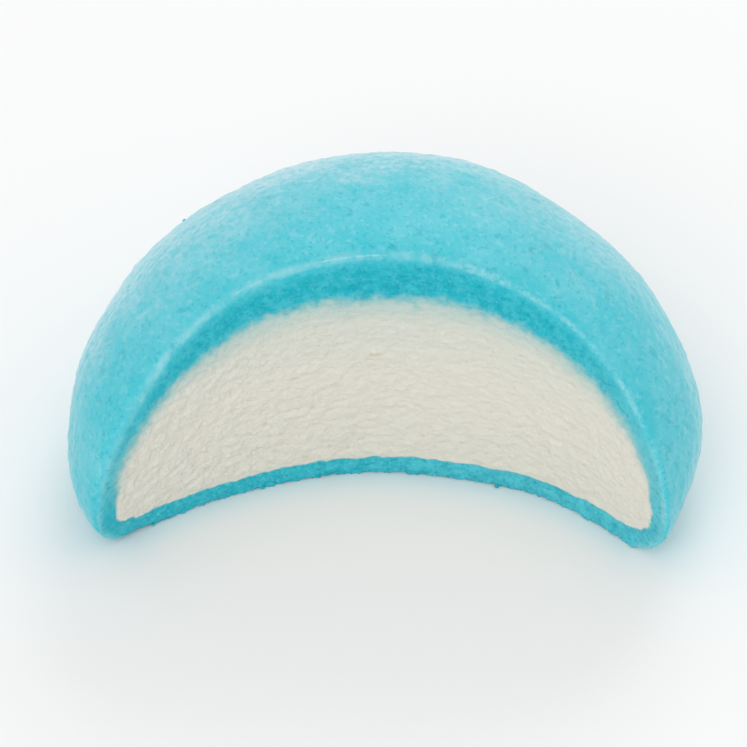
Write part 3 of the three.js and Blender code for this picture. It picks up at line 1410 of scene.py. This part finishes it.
@dataclass
class Studio:
    """Floor, sky and lamps: soft even light with a broad highlight from the upper left."""

    floor_size: float = 4.0
    sky: float = 0.805
    lamps: tuple[tuple[str, Triple, float, float], ...] = (
        ("front_lamp", (-0.13, -0.37, 0.31), 0.30, 0.48),
        ("back_lamp", (0.10, 0.39, 0.30), 0.30, 0.54),
    )

    def build(self, target: Vector) -> None:
        """Makes the floor, the sky and the lamps.

        Args:
            target: What the lamps point at.
        """
        bpy.ops.object.select_all(action="DESELECT")
        bpy.ops.mesh.primitive_plane_add(size=self.floor_size, location=(0, 0, 0))
        floor = bpy.context.object
        floor.name = "studio_floor"
        floor.data.materials.append(FLOOR_FINISH.make())
        world = bpy.data.worlds.new("studio_sky")
        world.use_nodes = True
        background = world.node_tree.nodes["Background"]
        background.inputs["Color"].default_value = (1, 1, 1, 1)
        background.inputs["Strength"].default_value = self.sky
        bpy.context.scene.world = world
        for name, place, size, power in self.lamps:
            data = bpy.data.lights.new(name, "AREA")
            data.shape = "DISK"
            data.size = size
            data.energy = power
            lamp = bpy.data.objects.new(name, data)
            lamp.location = place
            lamp.rotation_euler = (target - Vector(place)).to_track_quat("-Z", "Y").to_euler()
            bpy.context.collection.objects.link(lamp)
        bpy.context.scene.view_settings.view_transform = "Standard"


@dataclass
class PortraitCamera:
    """The photograph's viewpoint: a long lens about 40 degrees above the horizon.

    Attributes:
        elevation: Degrees above the horizon.
        distance: Millimetres from the subject.
        lens: Millimetres, on a sensor 36 mm wide.
        aim: Millimetres from the dome's axis to the point in the middle of the picture.
        subject_height: Millimetres from the ground to the point that the distance is measured to.
    """

    elevation: float = 39.78
    distance: float = 288.3
    lens: float = 201.3
    aim: Triple = (-0.69, -1.0, 10.8)
    subject_height: float = 12.0

    def build(self, axis: tuple[float, float]) -> None:
        """Places the camera.

        Args:
            axis: Where the dome's axis stands, as x and y in millimetres.
        """
        data = bpy.data.cameras.new("portrait_camera")
        data.lens = self.lens
        camera = bpy.data.objects.new("portrait_camera", data)
        angle = math.radians(self.elevation)
        subject = Vector((*axis, self.subject_height))
        place = subject + self.distance * Vector((0, -math.cos(angle), math.sin(angle)))
        look = Vector((*axis, 0)) + Vector(self.aim) - place
        camera.location = place * MM
        camera.rotation_euler = look.to_track_quat("-Z", "Y").to_euler()
        data.clip_start = 0.01
        bpy.context.collection.objects.link(camera)
        bpy.context.scene.camera = camera


# ---- Putting it together ---------------------------------------------------------------------


@dataclass
class Mochi:
    """The whole sweet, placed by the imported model's box.

    Attributes:
        radius: Of the dome at its belly, in millimetres.
        right_swell: How far the dome swells past that on its right side.
        axis: Where the dome's axis stands, as x and y in millimetres.
    """

    radius: float = 22.0
    right_swell: float = 0.2
    axis: tuple[float, float] = field(init=False)

    def __post_init__(self) -> None:
        """Finds the dome's axis from the box of the dough's solid."""
        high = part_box(Node.WRAPPER.value)[1]
        self.axis = (high[0] / MM - self.radius - self.right_swell, high[1] / MM - self.radius)

    def whole_ball(self) -> SettledBall:
        """Returns the form of the whole ball of dough."""
        left = (Press(200, 0.5), Press(150, -0.3), Press(125, -0.3), Press(100, 0.1))
        right = (Press(75, 0.25), Press(50, -0.35), Press(25, -0.15), Press(0, 0.35), Press(-18, -0.3))
        return SettledBall(
            self.axis,
            self.radius,
            belly=4.9,
            top=22.4,
            under=10.1,
            floor=0.0,
            segments=256,
            presses=left + right,
        )

    def cream_ball(self) -> SettledBall:
        """Returns the form of the whole ball of ice cream, a little to the right."""
        axis = (self.axis[0] + 0.22, self.axis[1] + 0.44)
        flattened = (Press(90, -0.55),)
        return SettledBall(
            axis,
            radius=20.45,
            belly=4.87,
            top=18.3,
            under=16.0,
            floor=1.8,
            segments=160,
            presses=flattened,
            press_ring_lean=0.0,
        )

    def build(self) -> None:
        """Models the pieces, dresses them and puts them in the frame."""
        body = BittenBody(self.whole_ball(), Bite(self.axis))
        cream_ball = self.cream_ball()
        solid = body.build()
        whole_cream = cream_ball.model("whole_cream")
        shell = Wrapper(body, cream_ball).build(solid, whole_cream)
        cream = Filling(body, cream_ball).build(solid, whole_cream)
        crumbs = Crumbs(self.axis).build(shell)
        bpy.data.objects.remove(solid)
        bpy.data.objects.remove(whole_cream)
        skins = [DoughFinish(area, Recipe(area.value)).make() for area in Area]
        frozen = CreamFinish(Recipe("vanilla_ice_cream")).make()
        pieces = (
            (shell, skins, Node.WRAPPER, Slot.DOUGH),
            (cream, [frozen], Node.FILLING, Slot.CREAM),
            (crumbs, [CRUMB_FINISH.make()], None, Slot.DOUGH),
        )
        for piece, materials, node, slot in pieces:
            piece.data.materials.clear()
            for material in materials:
                piece.data.materials.append(material)
            if piece is shell:
                body.part_areas(shell)
            Bench.to_metres(piece)
            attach(piece, "root")
            if node:
                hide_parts(node.value)
            log.info("%s: %d faces", piece.name, len(piece.data.polygons))


def main() -> None:
    """Builds the mochi, the studio and the camera, in that order."""
    logging.basicConfig(level=logging.INFO, format="%(name)s: %(message)s")
    mochi = Mochi()
    mochi.build()
    Studio().build(Vector((0, 0, 0.01)))
    PortraitCamera().build(mochi.axis)


if __name__ == "__main__":
    main()
